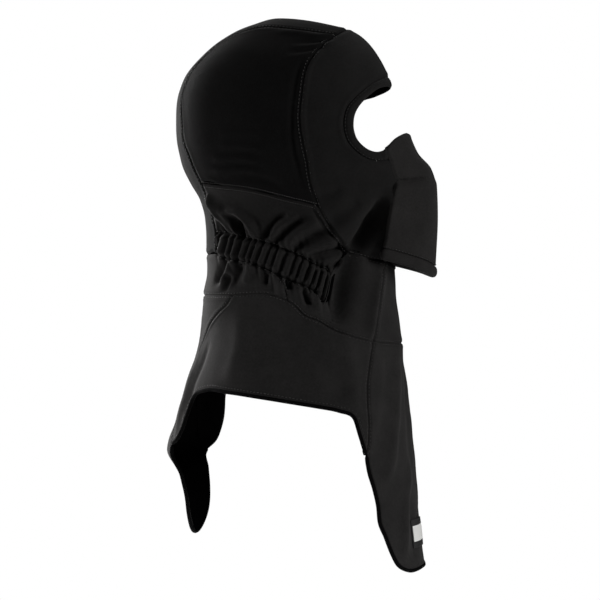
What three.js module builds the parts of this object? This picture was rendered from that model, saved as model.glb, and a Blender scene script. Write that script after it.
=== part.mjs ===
// A knitted balaclava: hood, eye opening, breathing mask that lifts, gathered nape, neck and long bib.
// Millimetres. +X is the way the face looks, +Y the wearer's left, +Z up.
// The origin is the middle of the head at eye level. It holds the shape of the head it is worn on.
import * as THREE from 'three';

// ---- driving dimensions ---------------------------------------------------------------------------
const CROWN = 93.5;              // crown above eye level
const CLOTH = 2.0;               // one knitted panel
const SEAM_INSET = 0.45;         // a panel stops this far short of the seam line it is sewn along
const BINDING_WIDTH = 3.0;       // hem binding seen from the front
const BINDING_THICK = 3.2;
const BINDING_PROUD = 0.6;       // how far the binding stands above the cloth
const HEM_ALLOWANCE = 4.4;       // cloth stops this far inside a bound edge
const MASK_HEM_HEIGHT = 11;      // rolled lower hem of the mask
const MASK_HEM_THICK = 7;
const MASK_HEM_PROUD = 1.5;
const FLAP_PROUD = 1.0;          // the lower mask lies over the cheeks
const ELASTIC_THICK = 1.2;
const ELASTIC_DEPTH = 2.6;       // elastic lies this far under the outer face of its casing
const ELASTIC_INSET = 4;
const LABEL_THICK = 0.8;
const LABEL_LIFT = 1.2;

// ---- profiles: [height z, value in mm] --------------------------------------------------------------
// Side profile of the face and neck, at the middle of the front.
const FACE_FRONT = [
  [CROWN, -4.6], [87, 44], [80, 67], [72, 78], [58, 89], [43, 96.5], [30, 101], [0, 112], [-17, 119],
  [-32, 126], [-46, 137], [-60, 138.5], [-70, 135.5], [-85, 130], [-100, 124], [-118, 115], [-133, 104],
  [-158, 105], [-218, 112.5], [-260, 116], [-350, 125], [-425, 134],
];
// The mask stands forward of the face from the nose down.
const MASK_FRONT = [[0, 112], [-17, 119], [-32, 126], [-46, 138], [-60, 142], [-90, 143], [-135, 141]];
const BACK = [
  [CROWN, -4.6], [87, -27], [80, -46], [65, -68], [50, -83], [35, -93], [18, -98], [0, -99.5],
  [-20, -98.5], [-40, -94.5], [-60, -85.5], [-76, -76.5], [-92, -72.3], [-143, -70.7], [-160, -73.8],
  [-203, -76.3], [-247, -90.5], [-277, -100], [-307, -110], [-330, -96.5], [-362, -89.5], [-425, -86],
];
const HALF_WIDTH = [
  [CROWN, 0], [87, 33], [80, 47], [65, 60], [50, 68.5], [35, 73.5], [18, 77], [0, 78], [-25, 77],
  [-50, 73], [-75, 67], [-100, 63], [-130, 60], [-150, 61], [-180, 68], [-210, 80], [-240, 90],
  [-270, 96], [-310, 98], [-425, 94],
];
// Where the widest line of the body runs, fore and aft.
const MIDDLE = [[CROWN, -4.6], [80, 4], [60, 6], [0, 8], [-60, 10], [-150, 12], [-425, 12]];
// The bib hangs turned a little to the wearer's right, in degrees about the vertical.
const TURN = [[CROWN, 0], [-150, 0], [-200, -4], [-250, -11], [-300, -16], [-425, -17]];

// ---- seams: [angle round the body in degrees, height z] ---------------------------------------------
// 0 is the front, -90 the wearer's right, -180 the back. The left side is the mirror of the right.
const FRONT_END = [[-53, 72], [-30, 80], [0, 83.5]];
const CROWN_SEAM_TOP = [[-53, 72], [-68, 74], [-88, 76.5], [-126, 78], [-150, 70], [-158, 50]];
const CROWN_SEAM_BACK = [[-158, 50], [-160, 15], [-158, -5], [-157, -23], [-153, -44], [-152, -62]];
const CROWN_SEAM_NAPE = [[-152, -62], [-154, -77], [-153, -93], [-150, -106]];
const HOOD_FRONT_UPPER = [
  [-53, 72], [-70.5, 58], [-80, 41], [-84, 18], [-86, -9], [-85.5, -25], [-84.5, -42], [-83.5, -61],
  [-80, -84],
];
const HOOD_FRONT_LOWER = [[-80, -84], [-74, -102], [-65, -118], [-58, -127]];
const COVERSTITCH_SEAM = [[-80, -84], [-88, -80], [-98, -76], [-116, -69], [-132, -65.5], [-152, -62]];
const CASING_TOP = [
  [-68.5, -143], [-73, -138.5], [-81, -134.5], [-87.5, -128], [-95, -123], [-106, -117], [-122, -111.5],
  [-133, -108], [-150, -106],
];
const CASING_BOTTOM = [
  [-73, -167], [-80, -159], [-85, -154.5], [-99, -146.5], [-107.5, -140], [-117, -135], [-129, -131.5],
  [-139, -130], [-150, -126],
];
const EYE_EDGE = [
  [0, 29.5], [-17, 28.5], [-32, 24.5], [-43, 17], [-49, 11], [-56, 0], [-58.5, -8], [-59.5, -16],
  [-59, -23.5], [-56, -31], [-51.5, -34.5], [-46, -33], [-42, -29],
];
const EYE_STITCH = [
  [0, 39], [-18, 36.5], [-33, 31], [-45.5, 22.5], [-55, 12.5], [-61, 3.5], [-64, -6.5], [-65, -16],
  [-64.5, -25.5], [-62, -34], [-58.5, -41.5], [-53, -43], [-46.5, -40],
];
const NOSE_EDGE = [[-42, -29], [-33, -21], [-23, -16], [-11, -13], [0, -12.5]];
const NOSE_SIDE = [[-42, -29], [-46.5, -40], [-47, -50], [-46, -60]];
const CREASE = [[-46, -60], [-38, -59], [-25, -56], [0, -53.5]];
const FLAP_SIDE = [[-46, -60], [-47.5, -69], [-49.5, -85], [-51, -99], [-52, -113], [-53, -120]];
const FLAP_BOTTOM = [[-53, -120], [-35, -127], [-10, -134.5], [0, -135.5]];
const FACE_INNER_LOWER = [
  [-54, -44.5], [-48.7, -46], [-47.5, -51], [-44, -62], [-34, -72], [-30, -92], [-29, -113], [-31, -133],
];
const NAPE_CORNER = [-61, -127.5];
const CASING_FRONT_SEAM = [[-68.5, -143], [-63.5, -136], [-58, -127]];
const CHIN_SEAM = [[-58, -127], [-44, -130], [-31, -133]];
const CHIN_EDGE = [[-31, -133], [-16, -136], [0, -138]];
const NECK_FRONT_SEAM = [[-31, -133], [-37.5, -167], [-42.5, -205]];
const NAPE_SEAM = [[-99, -146.5], [-96.5, -158], [-94, -168]];
const YOKE_BACK = [
  [-94, -168], [-99, -165], [-105, -162.5], [-115, -162], [-131, -163], [-150, -163], [-180, -163],
];
const YOKE_SIDE = [
  [-94, -168], [-90, -172], [-84, -181], [-76, -186], [-70, -191], [-65, -195], [-60, -198], [-51, -202],
  [-42.5, -205],
];
const YOKE_FRONT = [[-42.5, -205], [-20, -206.5], [0, -207]];
const BIB_FRONT_SEAM = [[-42.5, -205], [-43, -238], [-41, -260], [-38.5, -280], [-38.5, -292]];
const FRONT_TAIL_EDGE = [
  [-39.5, -306], [-38.8, -320], [-36.5, -335], [-35, -349], [-35, -363], [-32, -377], [-29, -392],
  [-26, -402], [-18, -409], [0, -409.5],
];
const BIB_BACK_SEAM = [
  [-131, -163], [-136, -172], [-142, -178], [-155, -195], [-162, -212], [-163, -238], [-163, -265],
  [-159, -281], [-153, -293],
];
const BACK_TAIL_EDGE = [[-148.5, -303], [-152, -320], [-158, -345], [-164, -365], [-171, -380], [-180, -386]];
const ARCH_EDGE = [
  [-147, -300], [-143.5, -291], [-143, -274], [-143, -258], [-133, -248.5], [-115, -249.5], [-97, -253],
  [-83, -256.5], [-67, -261], [-57, -264.5], [-48, -271], [-44, -285], [-41, -303],
];
const LABEL = { from: -9, to: 9, top: -366, bottom: -391 };

// ---- the body the cloth lies on -----------------------------------------------------------------------
// Heights are read on a level scale that is even over the round of the crown.
const level = (z) => Math.sqrt(Math.max(0, 1 - z / CROWN));
const height = (q) => CROWN * (1 - q * q);

// Smooth value of a profile table at a height, without overshoot between the given rows.
function along(table, z) {
  const xs = table.map((row) => level(row[0]));
  const ys = table.map((row) => row[1]);
  const x = THREE.MathUtils.clamp(level(z), xs[0], xs[xs.length - 1]);
  const last = xs.length - 1;
  let i = 0;
  while (i < last - 1 && xs[i + 1] < x) i += 1;
  const rise = (k) => (ys[k + 1] - ys[k]) / (xs[k + 1] - xs[k]);
  const slope = (k) => {
    if (k === 0) return rise(0);
    if (k === last) return rise(last - 1);
    const [before, after] = [rise(k - 1), rise(k)];
    if (before * after <= 0) return 0;
    const w1 = 2 * (xs[k + 1] - xs[k]) + (xs[k] - xs[k - 1]);
    const w2 = (xs[k + 1] - xs[k]) + 2 * (xs[k] - xs[k - 1]);
    return (w1 + w2) / (w1 / before + w2 / after);
  };
  const step = xs[i + 1] - xs[i];
  const t = (x - xs[i]) / step;
  const [t2, t3] = [t * t, t * t * t];
  return (2 * t3 - 3 * t2 + 1) * ys[i] + (t3 - 2 * t2 + t) * step * slope(i)
    + (3 * t2 - 2 * t3) * ys[i + 1] + (t3 - t2) * step * slope(i + 1);
}

// Point on the body at an angle (radians) and a level.
function bodyPoint(angle, q, front) {
  const z = height(q);
  const middle = along(MIDDLE, z);
  const forward = Math.cos(angle);
  const reach = forward >= 0 ? along(front, z) - middle : middle - along(BACK, z);
  const dx = reach * forward;
  const dy = along(HALF_WIDTH, z) * Math.sin(angle);
  const turn = THREE.MathUtils.degToRad(along(TURN, z));
  return new THREE.Vector3(
    middle + dx * Math.cos(turn) - dy * Math.sin(turn),
    dx * Math.sin(turn) + dy * Math.cos(turn),
    z,
  );
}

// Two ways to flatten the body: WRAP is angle against level, PLAN looks down on the crown.
const WRAP = {
  flatten: ([degrees, z]) => new THREE.Vector3(THREE.MathUtils.degToRad(degrees), level(z), 0),
  angleAndLevel: (p) => [p.x, p.y],
};
const PLAN = {
  flatten: ([degrees, z]) => {
    const angle = THREE.MathUtils.degToRad(degrees);
    return new THREE.Vector3(level(z) * Math.cos(angle), level(z) * Math.sin(angle), 0);
  },
  angleAndLevel: (p) => [Math.atan2(p.y, p.x), Math.hypot(p.x, p.y)],
};

// Point and outward direction of the body under a flattened point.
function lift(chart, p, front) {
  const step = 1e-4;
  const at = (dx, dy) => {
    const [angle, q] = chart.angleAndLevel(new THREE.Vector3(p.x + dx, p.y + dy, 0));
    return bodyPoint(angle, q, front);
  };
  const point = at(0, 0);
  const across = at(step, 0).sub(at(-step, 0));
  const down = at(0, step).sub(at(0, -step));
  const normal = across.cross(down).normalize();
  const axis = new THREE.Vector3(along(MIDDLE, point.z), 0, Math.min(point.z, 0));
  if (normal.dot(point.clone().sub(axis)) < 0) normal.negate();
  return { point, normal };
}

const curve = (points) => new THREE.CatmullRomCurve3(points, false, 'centripetal');
const flip = ([degrees, z]) => [-degrees, z];
const backFlip = ([degrees, z]) => [-360 - degrees, z];
const leftOf = (path) => path.map(flip);
const acrossFront = (path) => [...path, ...path.slice(0, -1).reverse().map(flip)];
const acrossBack = (path) => [...path, ...path.slice(0, -1).reverse().map(backFlip)];
const reversed = (path) => [...path].reverse();

// A path moved sideways over the body by a distance in mm, to the left of its running direction.
function sideways(path, distance, front = FACE_FRONT) {
  const flat = path.map(WRAP.flatten);
  const scale = flat.map((p) => {
    const here = bodyPoint(p.x, p.y, front);
    return [
      bodyPoint(p.x + 1e-3, p.y, front).distanceTo(here) / 1e-3,
      bodyPoint(p.x, p.y + 1e-3, front).distanceTo(here) / 1e-3,
    ];
  });
  return flat.map((p, i) => {
    const before = flat[Math.max(i - 1, 0)];
    const after = flat[Math.min(i + 1, flat.length - 1)];
    const [sx, sy] = scale[i];
    const run = new THREE.Vector2((after.x - before.x) * sx, (after.y - before.y) * sy).normalize();
    const moved = [p.x + (run.y * distance) / sx, p.y - (run.x * distance) / sy];
    return [THREE.MathUtils.radToDeg(moved[0]), height(moved[1])];
  });
}

// ---- solids --------------------------------------------------------------------------------------------
const part = new THREE.Group();
part.name = 'balaclava';

const cloth = (color, roughness = 0.92) => new THREE.MeshStandardMaterial({ color, roughness, metalness: 0 });
const HOOD_CLOTH = 0x2a2a2c;
const FACE_CLOTH = 0x303032;
const MASK_CLOTH = 0x3a3a3b;
const BIB_CLOTH = 0x343435;
const BINDING_CLOTH = 0x171718;
const ELASTIC_TAPE = 0x1d1d1f;
const LABEL_TAPE = 0x101011;

function addMesh(name, vertices, faces, material) {
  const geometry = new THREE.BufferGeometry();
  const places = vertices.flatMap((v) => [v.x, v.y, v.z]);
  geometry.setAttribute('position', new THREE.Float32BufferAttribute(places, 3));
  geometry.setIndex(faces.flat());
  geometry.computeVertexNormals();
  const mesh = new THREE.Mesh(geometry, material);
  mesh.name = name;
  part.add(mesh);
}

const quad = (a, b, c, d) => [[a, b, c], [a, c, d]];

// Close a grid of body points into a sheet of cloth: outer face, inner face and the four edges.
function sheet(name, grid, thickness, proud, material) {
  const [rows, columns] = [grid.length, grid[0].length];
  const offset = (site, distance) => site.point.clone().addScaledVector(site.normal, distance);
  const outer = grid.flat().map((site) => offset(site, proud));
  const inner = grid.flat().map((site) => offset(site, proud - thickness));
  const count = rows * columns;
  const id = (i, j) => i * columns + j;
  const faces = [];
  for (let i = 0; i < rows - 1; i += 1) {
    for (let j = 0; j < columns - 1; j += 1) {
      const [a, b, c, d] = [id(i, j), id(i + 1, j), id(i + 1, j + 1), id(i, j + 1)];
      faces.push(...quad(a, b, c, d));
      faces.push(...quad(a + count, d + count, c + count, b + count));
    }
  }
  const rim = [];
  for (let i = 0; i < rows - 1; i += 1) rim.push(id(i, 0));
  for (let j = 0; j < columns - 1; j += 1) rim.push(id(rows - 1, j));
  for (let i = rows - 1; i > 0; i -= 1) rim.push(id(i, columns - 1));
  for (let j = columns - 1; j > 0; j -= 1) rim.push(id(0, j));
  rim.forEach((a, k) => {
    const b = rim[(k + 1) % rim.length];
    faces.push(...quad(a, a + count, b + count, b));
  });
  const vertices = [...outer, ...inner];
  // Turn the faces round when the grid runs the other way about the body.
  const [p, q, r] = [outer[id(0, 0)], outer[id(1, 0)], outer[id(1, 1)]];
  const facing = q.clone().sub(p).cross(r.clone().sub(p)).dot(grid[0][0].normal);
  addMesh(name, vertices, facing > 0 ? faces : faces.map(([a, b, c]) => [a, c, b]), material);
}

// A panel between a top and a bottom edge, with optional shaped sides (start and end).
function panel(name, { top, bottom, start, end, cells, color, ...options }) {
  const { chart = WRAP, front = FACE_FRONT, thickness = CLOTH, proud = 0, inset = SEAM_INSET } = options;
  const edge = (path) => curve(path.map(chart.flatten));
  const [a, b] = [edge(top), edge(bottom)];
  const c = start ? edge(start) : edge([top[0], bottom[0]]);
  const d = end ? edge(end) : edge([top[top.length - 1], bottom[bottom.length - 1]]);
  const corners = [a.getPoint(0), a.getPoint(1), b.getPoint(0), b.getPoint(1)];
  const onBody = (p) => bodyPoint(...chart.angleAndLevel(p), front);
  const lengthOf = (line) => {
    const stops = [0, 0.25, 0.5, 0.75, 1].map((t) => onBody(line(t)));
    return stops.slice(1).reduce((sum, p, i) => sum + p.distanceTo(stops[i]), 0);
  };
  const coons = (t, s) => {
    const p = new THREE.Vector3();
    p.addScaledVector(a.getPoint(t), 1 - s).addScaledVector(b.getPoint(t), s);
    p.addScaledVector(c.getPoint(s), 1 - t).addScaledVector(d.getPoint(s), t);
    p.addScaledVector(corners[0], -(1 - t) * (1 - s)).addScaledVector(corners[1], -t * (1 - s));
    return p.addScaledVector(corners[2], -(1 - t) * s).addScaledVector(corners[3], -t * s);
  };
  const [columns, rows] = cells;
  const grid = [];
  for (let i = 0; i <= columns; i += 1) {
    const line = [];
    for (let j = 0; j <= rows; j += 1) {
      const alongRow = inset / lengthOf((t) => coons(t, j / rows));
      const t = THREE.MathUtils.lerp(alongRow, 1 - alongRow, i / columns);
      const downColumn = inset / lengthOf((s) => coons(t, s));
      const s = THREE.MathUtils.lerp(downColumn, 1 - downColumn, j / rows);
      line.push(lift(chart, coons(t, s), front));
    }
    grid.push(line);
  }
  sheet(name, grid, thickness, proud, cloth(color));
}

// A binding that covers the bound edge of the cloth: a flat rounded band to the left of its path.
function band(name, path, { width, thickness, proud, steps, color, front = FACE_FRONT }) {
  const line = curve(path.map(WRAP.flatten));
  const sites = [];
  for (let i = 0; i <= steps; i += 1) sites.push(lift(WRAP, line.getPoint(i / steps), front));
  const section = [
    [0.15, 0], [0.85, 0], [1, -0.35], [1, -0.65], [0.85, -1], [0.15, -1], [0, -0.65], [0, -0.35],
  ];
  const vertices = [];
  sites.forEach((site, i) => {
    const run = sites[Math.min(i + 1, steps)].point.clone().sub(sites[Math.max(i - 1, 0)].point);
    const left = site.normal.clone().cross(run).normalize();
    section.forEach(([u, v]) => {
      vertices.push(site.point.clone()
        .addScaledVector(left, u * width)
        .addScaledVector(site.normal, proud + v * thickness));
    });
  });
  const n = section.length;
  const faces = [];
  for (let i = 0; i < steps; i += 1) {
    for (let k = 0; k < n; k += 1) {
      const [a, b] = [i * n + k, i * n + ((k + 1) % n)];
      faces.push(...quad(a, a + n, b + n, b));
    }
  }
  for (let k = 1; k < n - 1; k += 1) {
    faces.push([0, k, k + 1]);
    faces.push([steps * n, steps * n + k + 1, steps * n + k]);
  }
  addMesh(name, vertices, faces, cloth(color));
}

// ---- hood ------------------------------------------------------------------------------------------------
function crownPanel() {
  const seam = [...CROWN_SEAM_TOP, ...CROWN_SEAM_BACK.slice(1), ...CROWN_SEAM_NAPE.slice(1)];
  const rightEdge = [...seam, CASING_BOTTOM.at(-1)];
  panel('crown_panel', {
    chart: PLAN,
    top: rightEdge,
    bottom: leftOf(rightEdge),
    start: acrossFront(FRONT_END),
    end: [[-150, -126], [-165, -125.5], [-180, -125], [165, -125.5], [150, -126]],
    cells: [28, 8],
    color: HOOD_CLOTH,
  });
}

function hoodSide(name, side) {
  panel(name, {
    chart: PLAN,
    top: side(CROWN_SEAM_TOP),
    bottom: side(COVERSTITCH_SEAM),
    start: side(HOOD_FRONT_UPPER),
    end: side(CROWN_SEAM_BACK),
    cells: [12, 12],
    color: HOOD_CLOTH,
  });
}

function napePanel(name, side) {
  panel(name, {
    top: side(COVERSTITCH_SEAM),
    bottom: side(CASING_TOP),
    start: side([...HOOD_FRONT_LOWER.slice(0, -1), NAPE_CORNER, CASING_TOP[0]]),
    end: side(CROWN_SEAM_NAPE),
    cells: [12, 6],
    color: BIB_CLOTH,
  });
}

function gatherCasing(name, side) {
  panel(name, { top: side(CASING_TOP), bottom: side(CASING_BOTTOM), cells: [16, 3], color: BIB_CLOTH });
}

function gatherElastic(name, side) {
  panel(name, {
    top: side(CASING_TOP),
    bottom: side(CASING_BOTTOM),
    cells: [16, 1],
    color: ELASTIC_TAPE,
    inset: ELASTIC_INSET,
    proud: -ELASTIC_DEPTH,
    thickness: ELASTIC_THICK,
  });
}

// ---- face ------------------------------------------------------------------------------------------------
// One piece runs over the forehead and down both cheeks, round the eye opening and the mouth opening.
function facePanel() {
  const outer = [...reversed(FRONT_END), ...HOOD_FRONT_UPPER.slice(1), ...HOOD_FRONT_LOWER.slice(1)];
  const inner = [...EYE_STITCH.slice(0, -2), ...FACE_INNER_LOWER];
  panel('face_panel', {
    chart: PLAN,
    top: acrossFront(reversed(outer)),
    bottom: acrossFront(reversed(inner)),
    start: CHIN_SEAM,
    end: leftOf(CHIN_SEAM),
    cells: [44, 4],
    color: FACE_CLOTH,
  });
}

function eyeOpeningBinding() {
  panel('eye_opening_binding', {
    chart: PLAN,
    top: acrossFront(reversed(EYE_STITCH)),
    bottom: acrossFront(reversed(EYE_EDGE)),
    cells: [40, 2],
    color: BINDING_CLOTH,
  });
}

// ---- mask ------------------------------------------------------------------------------------------------
function maskNosePanel() {
  panel('mask_nose_panel', {
    front: MASK_FRONT,
    top: acrossFront(NOSE_EDGE),
    bottom: acrossFront(CREASE),
    start: NOSE_SIDE,
    end: leftOf(NOSE_SIDE),
    cells: [14, 5],
    color: MASK_CLOTH,
  });
}

function maskMouthPanel() {
  panel('mask_mouth_panel', {
    front: MASK_FRONT,
    top: acrossFront(CREASE),
    bottom: acrossFront(FLAP_BOTTOM),
    start: FLAP_SIDE,
    end: leftOf(FLAP_SIDE),
    cells: [14, 6],
    color: MASK_CLOTH,
    proud: FLAP_PROUD,
  });
}

function maskHem() {
  band('mask_hem', leftOf(acrossFront(FLAP_BOTTOM)), {
    front: MASK_FRONT,
    width: MASK_HEM_HEIGHT,
    thickness: MASK_HEM_THICK,
    proud: MASK_HEM_PROUD,
    steps: 20,
    color: MASK_CLOTH,
  });
}

// ---- neck ------------------------------------------------------------------------------------------------
function lowerNapePanel() {
  const top = [...CASING_BOTTOM.slice(3), [-165, -125.5], [-180, -125]];
  panel('lower_nape_panel', {
    top: acrossBack(top),
    bottom: acrossBack(YOKE_BACK),
    start: NAPE_SEAM,
    end: NAPE_SEAM.map(backFlip),
    cells: [24, 3],
    color: BIB_CLOTH,
  });
}

function neckSide(name, side) {
  const top = [
    ...reversed(CASING_BOTTOM.slice(0, 4)), ...CASING_FRONT_SEAM, ...CHIN_SEAM.slice(1),
  ];
  panel(name, {
    top: side(top),
    bottom: side(YOKE_SIDE),
    start: side(NAPE_SEAM),
    end: side(NECK_FRONT_SEAM),
    cells: [16, 5],
    color: BIB_CLOTH,
  });
}

function neckFrontPanel() {
  const top = sideways(CHIN_EDGE, -HEM_ALLOWANCE);
  const seam = [top[0], ...NECK_FRONT_SEAM.slice(1)];
  panel('neck_front_panel', {
    top: acrossFront(top),
    bottom: acrossFront(YOKE_FRONT),
    start: seam,
    end: leftOf(seam),
    cells: [10, 5],
    color: BIB_CLOTH,
  });
}

// ---- bib -------------------------------------------------------------------------------------------------
function bibSide(name, side) {
  const shoulder = [BIB_BACK_SEAM[0], [-128, -162.8], [-123, -162.5], YOKE_BACK[3]];
  const hem = sideways(ARCH_EDGE, HEM_ALLOWANCE).slice(1, -1);
  panel(name, {
    top: side([...shoulder, ...reversed(YOKE_BACK.slice(0, 3)), ...YOKE_SIDE.slice(1)]),
    bottom: side([BIB_BACK_SEAM.at(-1), ...hem, BIB_FRONT_SEAM.at(-1)]),
    start: side(BIB_BACK_SEAM),
    end: side(BIB_FRONT_SEAM),
    cells: [34, 7],
    color: BIB_CLOTH,
  });
}

function bibFrontPanel() {
  const seam = [...BIB_FRONT_SEAM, ...sideways(FRONT_TAIL_EDGE, HEM_ALLOWANCE)];
  const half = seam.slice(0, -1);
  panel('bib_front_panel', {
    top: acrossFront(YOKE_FRONT),
    bottom: [half[half.length - 1], seam[seam.length - 1], flip(half[half.length - 1])],
    start: half,
    end: leftOf(half),
    cells: [10, 20],
    color: BIB_CLOTH,
  });
}

function bibBackPanel() {
  const tail = sideways(BACK_TAIL_EDGE, -HEM_ALLOWANCE);
  const half = [...BIB_BACK_SEAM, ...tail.slice(0, -1)];
  const tip = tail[tail.length - 1];
  panel('bib_back_panel', {
    top: acrossBack(YOKE_BACK.slice(4)),
    bottom: [half[half.length - 1], tip, backFlip(half[half.length - 1])],
    start: half,
    end: half.map(backFlip),
    cells: [8, 20],
    color: BIB_CLOTH,
  });
}

// ---- bound edges ------------------------------------------------------------------------------------
const BINDING = {
  width: BINDING_WIDTH, thickness: BINDING_THICK, proud: BINDING_PROUD, color: BINDING_CLOTH,
};

function bindings() {
  band('chin_edge_binding', reversed(acrossFront(CHIN_EDGE)), { ...BINDING, steps: 10 });
  band('front_hem_binding', acrossFront(FRONT_TAIL_EDGE), { ...BINDING, steps: 40 });
  band('back_hem_binding', reversed(acrossBack(BACK_TAIL_EDGE)), { ...BINDING, steps: 24 });
  band('arch_binding_right', ARCH_EDGE, { ...BINDING, steps: 40 });
  band('arch_binding_left', reversed(leftOf(ARCH_EDGE)), { ...BINDING, steps: 40 });
}

function label() {
  const { from, to, top, bottom } = LABEL;
  panel('label_patch', {
    top: [[from, top], [to, top]],
    bottom: [[from, bottom], [to, bottom]],
    cells: [4, 2],
    color: LABEL_TAPE,
    proud: LABEL_LIFT,
    thickness: LABEL_THICK,
  });
}

crownPanel();
for (const [name, side] of [['right', (path) => path], ['left', leftOf]]) {
  hoodSide(`hood_side_${name}`, side);
  napePanel(`nape_panel_${name}`, side);
  gatherCasing(`gather_casing_${name}`, side);
  gatherElastic(`gather_elastic_${name}`, side);
  neckSide(`neck_side_${name}`, side);
  bibSide(`bib_side_${name}`, side);
}
facePanel();
eyeOpeningBinding();
maskNosePanel();
maskMouthPanel();
maskHem();
lowerNapePanel();
neckFrontPanel();
bibFrontPanel();
bibBackPanel();
bindings();
label();

export default part;
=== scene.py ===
"""Looks of the balaclava: knitted panels, seams, gathers, folds, stitching and the studio.

The garment is built in millimetres on the same body surface as the CAD solids, then stored in metres.
+X is the way the face looks, +Y the wearer's left, +Z up. Angles run round the body in degrees:
0 is the front, -90 the wearer's right, -180 the back. The left side mirrors the right.
"""

import math

import bpy
import numpy as np
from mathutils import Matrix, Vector


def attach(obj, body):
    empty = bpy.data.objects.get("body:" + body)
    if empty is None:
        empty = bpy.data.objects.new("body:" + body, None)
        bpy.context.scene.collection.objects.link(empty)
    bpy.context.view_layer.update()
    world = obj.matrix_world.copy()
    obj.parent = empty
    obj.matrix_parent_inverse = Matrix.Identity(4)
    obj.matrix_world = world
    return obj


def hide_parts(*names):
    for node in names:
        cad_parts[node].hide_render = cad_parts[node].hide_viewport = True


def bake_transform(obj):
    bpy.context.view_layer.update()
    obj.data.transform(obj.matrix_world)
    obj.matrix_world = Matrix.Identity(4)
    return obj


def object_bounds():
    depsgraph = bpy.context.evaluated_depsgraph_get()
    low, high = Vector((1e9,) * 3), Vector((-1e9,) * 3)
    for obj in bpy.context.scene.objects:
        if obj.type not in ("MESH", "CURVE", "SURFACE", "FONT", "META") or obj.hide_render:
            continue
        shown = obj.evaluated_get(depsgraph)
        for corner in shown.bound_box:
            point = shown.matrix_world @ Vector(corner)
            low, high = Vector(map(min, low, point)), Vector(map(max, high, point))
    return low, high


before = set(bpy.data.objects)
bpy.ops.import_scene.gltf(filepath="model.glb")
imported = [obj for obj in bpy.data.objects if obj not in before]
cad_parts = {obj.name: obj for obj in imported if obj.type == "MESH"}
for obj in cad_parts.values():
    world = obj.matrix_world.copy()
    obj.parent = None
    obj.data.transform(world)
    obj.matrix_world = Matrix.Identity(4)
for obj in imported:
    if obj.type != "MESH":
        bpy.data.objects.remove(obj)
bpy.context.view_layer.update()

# ---- sizes, in millimetres ----
MILLIMETRE = 0.001
UV_PER_MM = 0.01
# The top of the head, and the thickness of the cloth.
CROWN = 93.5
CLOTH = 1.8
# Mesh lines on a panel: their usual distance, and where they lie near an edge.
GRID_STEP = 3.2
EDGE_LINES = (0, 0.5, 1.1, 1.8, 2.5, 3.6)
# How cloth rolls down into a seam, puffs up beside it, and rolls round a folded edge.
SEAM_DEPTH = 1.1
SEAM_PUFF = 0.45
DEEPEST_SEAM = 1.43
DEEPEST_FOLD = 2.4
# The bound edges' tape.
BEAD_WIDTH = 3.6
# Stitching.
STITCH_DIP = 0.5
STITCH_INSET = 1.8
STITCH_PITCH = 3.3
STITCH_LENGTH = 2.2
STITCH_WIDTH = 0.65
COVERSTITCH_INSET = 2.2
COVERSTITCH_PITCH = 2.2
COVERSTITCH_LENGTH = 1.4
# Pleats of the elasticated channel.
PLEAT_PITCH = 7.4
PLEAT_LEAN = 8.0
PLEAT_HEIGHT = 7.6

# ---- camera ----
LOOK_AT = Vector((0.0158, 0.0, -0.1674))
VIEW_DISTANCE = 1.5
VIEW_WIDTH = 0.558


def add_camera():
    """Level with the middle of the garment, on the wearer's right."""
    data = bpy.data.cameras.new("camera")
    data.sensor_width = 36
    data.lens = data.sensor_width * VIEW_DISTANCE / VIEW_WIDTH
    camera = bpy.data.objects.new("camera", data)
    camera.location = LOOK_AT + Vector((0, -VIEW_DISTANCE, 0))
    camera.rotation_euler = (math.radians(90), 0, 0)
    bpy.context.collection.objects.link(camera)
    bpy.context.scene.camera = camera


add_camera()

# ---- body profiles: [height, value] ----
FACE_FRONT = [
    [CROWN, -4.6], [87, 44], [80, 67], [72, 78], [58, 89], [43, 96.5], [30, 101], [0, 112], [-17, 119],
    [-32, 126], [-46, 137], [-60, 138.5], [-70, 135.5], [-85, 130], [-100, 124], [-118, 115], [-133, 104],
    [-158, 105], [-218, 112.5], [-260, 116], [-350, 125], [-425, 134],
]
MASK_FRONT = [
    [0, 112], [-17, 119], [-32, 126], [-46, 138], [-60, 142], [-90, 143], [-135, 141],
]
BACK = [
    [CROWN, -4.6], [87, -27], [80, -46], [65, -68], [50, -83], [35, -93], [18, -98], [0, -99.5],
    [-20, -98.5], [-40, -94.5], [-60, -85.5], [-76, -76.5], [-92, -72.3], [-143, -70.7], [-160, -73.8],
    [-203, -76.3], [-247, -90.5], [-277, -100], [-307, -110], [-330, -96.5], [-362, -89.5], [-425, -86],
]
HALF_WIDTH = [
    [CROWN, 0], [87, 33], [80, 47], [65, 60], [50, 68.5], [35, 73.5], [18, 77], [0, 78], [-25, 77],
    [-50, 73], [-75, 67], [-100, 63], [-130, 60], [-150, 61], [-180, 68], [-210, 80], [-240, 90],
    [-270, 96], [-310, 98], [-425, 94],
]
MIDDLE = [[CROWN, -4.6], [80, 4], [60, 6], [0, 8], [-60, 10], [-150, 12], [-425, 12]]
TURN = [[CROWN, 0], [-150, 0], [-200, -4], [-250, -11], [-300, -16], [-425, -17]]

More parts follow.
